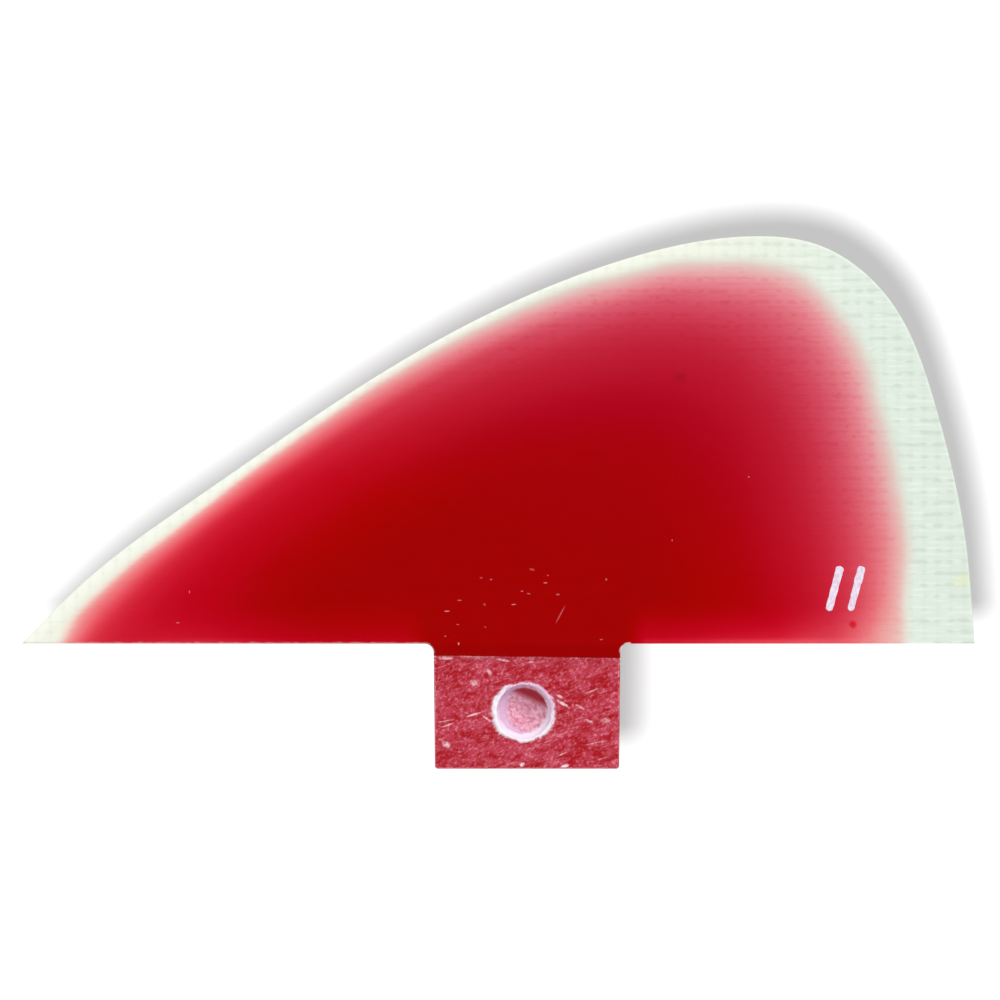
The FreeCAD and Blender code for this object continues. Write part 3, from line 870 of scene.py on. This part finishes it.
table_mesh = bpy.data.meshes.new("table")
span, table_y = table_half * MM, cad_high.y + table_gap * MM
table_corners = [(x * span, table_y, z * span) for x, z in ((-1, -1), (1, -1), (1, 1), (-1, 1))]
table_mesh.from_pydata(table_corners, [], [(0, 1, 2, 3)])
table = bpy.data.objects.new("table", table_mesh)
bpy.context.scene.collection.objects.link(table)
table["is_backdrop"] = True
table.visible_shadow = table.visible_diffuse = table.visible_glossy = table.visible_transmission = False
table_paint = bpy.data.materials.new("table_white")
table_paint.use_nodes = True
tree = table_paint.node_tree
tree.nodes.clear()
bare = tree.nodes.new("ShaderNodeBsdfDiffuse")
bare.inputs["Color"].default_value = (table_reflects, table_reflects, table_reflects, 1)
glow = tree.nodes.new("ShaderNodeEmission")
glow.inputs["Strength"].default_value = glow_white
lit = tree.nodes.new("ShaderNodeAddShader")
clear = tree.nodes.new("ShaderNodeBsdfTransparent")
choose = tree.nodes.new("ShaderNodeMixShader")
side_seen = tree.nodes.new("ShaderNodeNewGeometry")
output = tree.nodes.new("ShaderNodeOutputMaterial")
tree.links.new(bare.outputs[0], lit.inputs[0])
tree.links.new(glow.outputs[0], lit.inputs[1])
tree.links.new(side_seen.outputs["Backfacing"], choose.inputs[0])
tree.links.new(lit.outputs[0], choose.inputs[1])
tree.links.new(clear.outputs[0], choose.inputs[2])
tree.links.new(choose.outputs[0], output.inputs[0])
table_mesh.materials.append(table_paint)


def lamp(name, travel, strength, spread):
    """Even light that travels one way, from a source that looks spread degrees wide."""
    data = bpy.data.lights.new(name, "SUN")
    data.energy, data.angle = strength, math.radians(spread)
    made = bpy.data.objects.new(name, data)
    made.rotation_euler = Vector(travel).to_track_quat("-Z", "Y").to_euler()
    bpy.context.scene.collection.objects.link(made)
    return made


def lights_only(made, name, objects, state):
    """Limits which objects a lamp lights, or leaves some out."""
    group = bpy.data.collections.new(name)
    for item in objects:
        group.objects.link(item)
    made.light_linking.receiver_collection = group
    for link in group.collection_objects:
        link.light_linking.link_state = state


shadow_lamp = lamp("table_lamp", (0.092, 1, 0.136), lamp_white / table_reflects * math.pi * table_slant, 9)
lights_only(shadow_lamp, "table_only", [table], "INCLUDE")
key_lamp = lamp("key_lamp", (-0.45, 1, -0.75), face_white * math.pi * fin_slant, 35)
back_lamp = lamp("back_lamp", (0.45, -1, -0.75), back_white * math.pi * fin_slant, 35)
for made, receivers in ((key_lamp, "key_lit"), (back_lamp, "back_lit")):
    made.visible_glossy = False
    lights_only(made, receivers, [table], "EXCLUDE")

# The room: white where it is seen, an even fill on the fin, and for the gloss to mirror a pale wall all round
# with a dark gap straight in front.
world = bpy.data.worlds.new("studio")
bpy.context.scene.world = world
world.use_nodes = True
tree = world.node_tree
tree.nodes.clear()
rays = tree.nodes.new("ShaderNodeLightPath")
way = tree.nodes.new("ShaderNodeTexCoord")
split = tree.nodes.new("ShaderNodeSeparateXYZ")
tree.links.new(way.outputs["Generated"], split.inputs[0])
room = Field(tree, split.outputs["Y"]).rise(-0.92, -0.25) * room_bright + room_dark
camera_ray = Field(tree, rays.outputs["Is Camera Ray"])
glossy_ray = Field(tree, rays.outputs["Is Glossy Ray"])
level = glossy_ray * (room - soft_fill) + soft_fill
level = camera_ray * (1.0 - level) + level
sky = tree.nodes.new("ShaderNodeBackground")
sky.inputs["Color"].default_value = (1, 1, 1, 1)
feed(tree, sky.inputs["Strength"], level)
output = tree.nodes.new("ShaderNodeOutputWorld")
tree.links.new(sky.outputs[0], output.inputs[0])

camera = bpy.data.objects.new("camera", bpy.data.cameras.new("camera"))
camera.data.lens, camera.data.sensor_width = lens, sensor
distance = lens / sensor * view_width
camera.location = (aim_x * MM, (rim_y - distance) * MM, aim_z * MM)
camera.rotation_euler = (math.radians(90), 0, 0)
camera.data.clip_start, camera.data.clip_end = 0.01, 10              # metres
bpy.context.scene.collection.objects.link(camera)
bpy.context.scene.camera = camera
bpy.context.scene.view_settings.view_transform = "Standard"

low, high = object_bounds()
